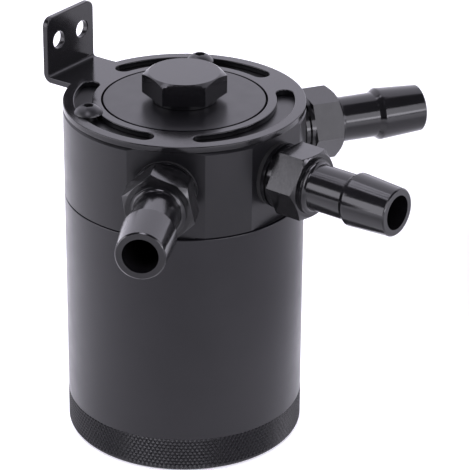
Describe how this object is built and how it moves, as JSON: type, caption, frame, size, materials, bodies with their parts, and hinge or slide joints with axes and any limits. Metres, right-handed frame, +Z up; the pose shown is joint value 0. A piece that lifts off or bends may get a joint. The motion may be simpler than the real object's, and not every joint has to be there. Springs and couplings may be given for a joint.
{
  "type": "oil catch can",
  "caption": "Cylindrical oil catch can with barbed hose fittings round its head, a plugged centre port and a swivelling sheet bracket.",
  "frame": {"origin": "centre of the can's flat base, on its axis", "axes": "+Z up along the can's axis, +Y towards the bracket's upright, +X to the right of it seen from the fittings' side"},
  "size_m": [0.1483, 0.129, 0.1325],
  "materials": {
    "anodised": "satin black anodised",
    "anodised_gloss": "semi-gloss black anodised",
    "black_screw": "black oxide",
    "plain_aluminium": "as machined",
    "zinc_steel": "zinc plated",
    "sintered_bronze": "porous, matt",
    "seal_rubber": "matt black"
  },
  "bodies": {
    "reservoir": {"reservoir": "anodised"},
    "seal": {"head_seal": "seal_rubber"},
    "head": {"head": "anodised", "bracket_screws": "black_screw", "top_plug": "anodised", "top_plug_washer": "anodised", "left_fitting": "anodised_gloss", "middle_fitting": "anodised_gloss", "right_fitting": "anodised_gloss", "left_fitting_seal": "seal_rubber", "middle_fitting_seal": "seal_rubber", "right_fitting_seal": "seal_rubber", "baffle_plate": "plain_aluminium", "baffle_posts": "zinc_steel", "baffle_screws": "zinc_steel", "filter_stem": "plain_aluminium", "filter_element": "sintered_bronze", "filter_top_gasket": "seal_rubber", "filter_bottom_gasket": "seal_rubber", "filter_end_cap": "plain_aluminium", "filter_washer": "zinc_steel", "filter_nut": "zinc_steel"},
    "bracket": {"bracket": "anodised"}
  },
  "joints": [
    {"name": "head_lift", "type": "slide", "parent": "reservoir", "child": "seal", "axis": [0, 0, 1], "range_m": [0, 0.009]},
    {"name": "head_turn", "type": "hinge", "parent": "seal", "child": "head", "pos_m": [0, 0, 0.082], "axis": [0, 0, 1], "range_deg": [0, 2160]},
    {"name": "bracket_swivel", "type": "hinge", "parent": "head", "child": "bracket", "pos_m": [0, 0, 0.112], "axis": [0, 0, 1], "range_deg": [-46, 41]}
  ],
  "couplings": [
    {"joint": "head_lift", "follows": "head_turn", "m_per_rad": 0.00023873}
  ]
}
